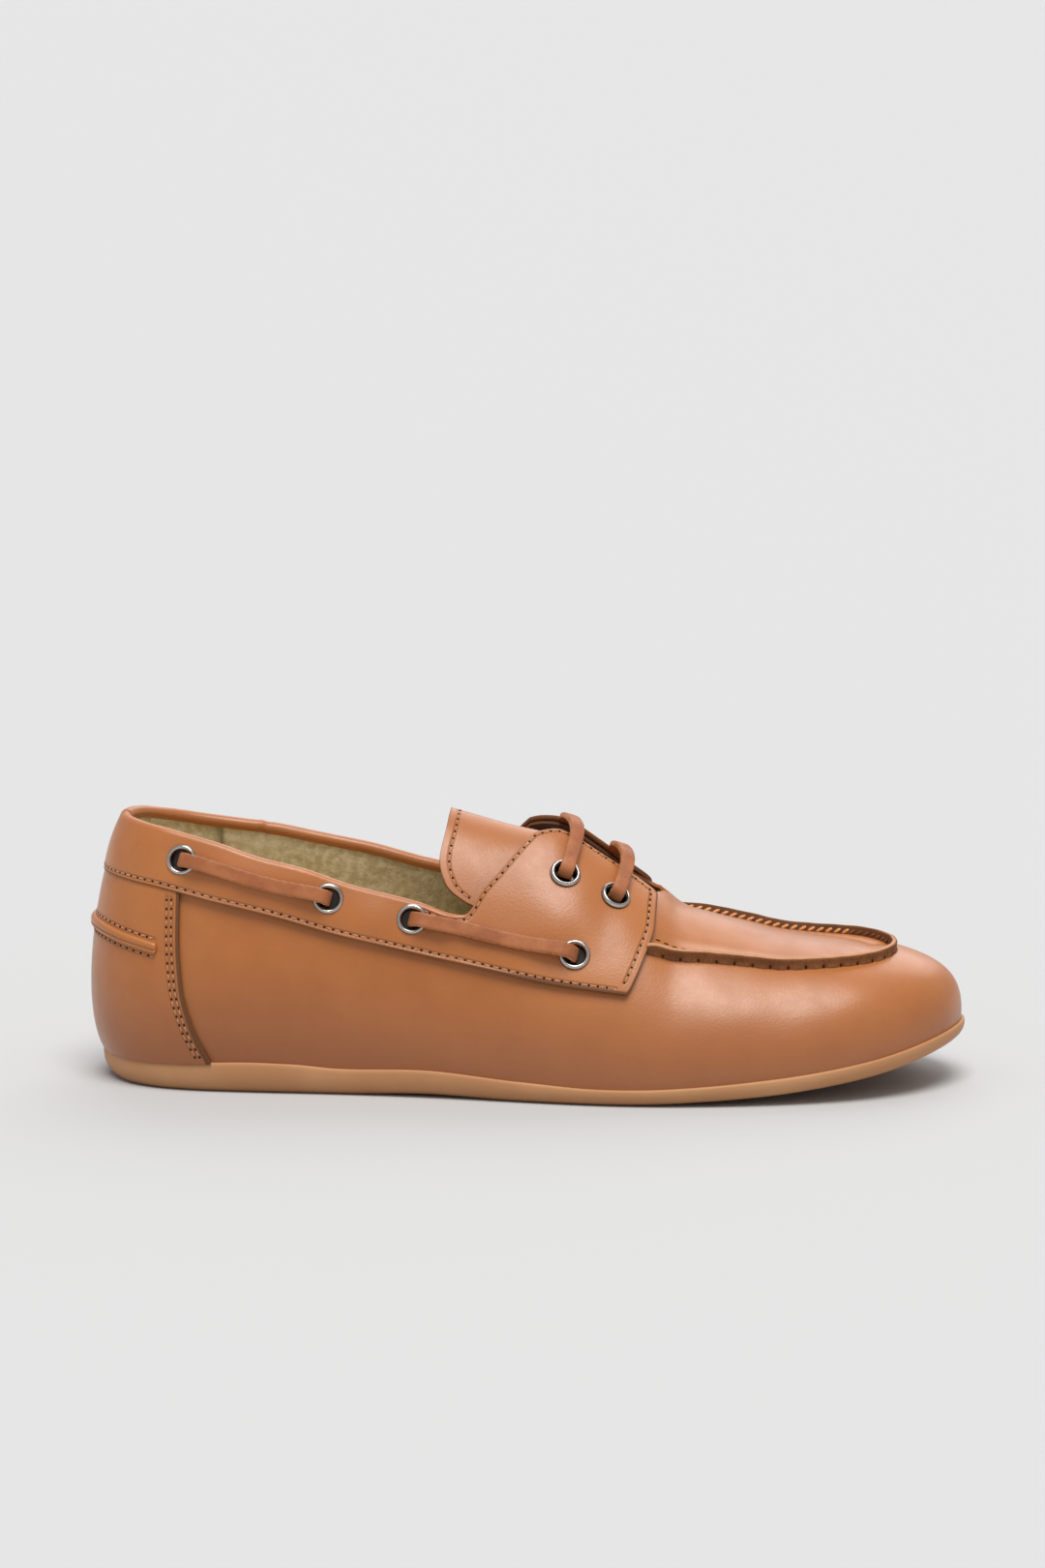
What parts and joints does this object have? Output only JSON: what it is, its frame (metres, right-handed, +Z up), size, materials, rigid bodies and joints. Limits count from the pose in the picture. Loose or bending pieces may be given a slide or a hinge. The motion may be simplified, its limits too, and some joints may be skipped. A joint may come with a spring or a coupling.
{
  "type": "boat shoe",
  "caption": "Slip-on leather boat shoe with an apron toe, a laced collar band, an open tongue and a thin moulded sole, standing empty",
  "frame": {"origin": "on the floor, under the middle of the shoe's box", "axes": "+X to the toe, +Y to the inner (medial) side, +Z up"},
  "size_m": [0.2552, 0.091, 0.0785],
  "materials": {
    "leather": "smooth tan leather with a soft gloss",
    "seam_edge": "raw cut leather edge, dark brown and matt",
    "lace": "flat leather thong with rough cut edges",
    "sole": "smooth matt gum rubber",
    "lining": "short napped beige lining",
    "eyelet": "polished nickel"
  },
  "bodies": {
    "root": {"outsole": "sole", "insole": "lining", "upper": "leather", "collar_band": "leather", "heel_counter": "leather", "heel_kicker": "leather", "apron_seam": "seam_edge", "tongue": "leather", "eyelet_heel_lateral": "eyelet", "eyelet_ankle_lateral": "eyelet", "eyelet_quarter_lateral": "eyelet", "eyelet_vamp_lateral": "eyelet", "eyelet_facing_rear_lateral": "eyelet", "eyelet_facing_front_lateral": "eyelet", "eyelet_heel_medial": "eyelet", "eyelet_ankle_medial": "eyelet", "eyelet_quarter_medial": "eyelet", "eyelet_vamp_medial": "eyelet", "eyelet_facing_rear_medial": "eyelet", "eyelet_facing_front_medial": "eyelet", "lace_rear_lateral": "lace", "lace_front_lateral": "lace", "lace_rear_medial": "lace", "lace_front_medial": "lace", "lace_bar_rear": "lace", "lace_bar_front": "lace"}
  },
  "joints": []
}
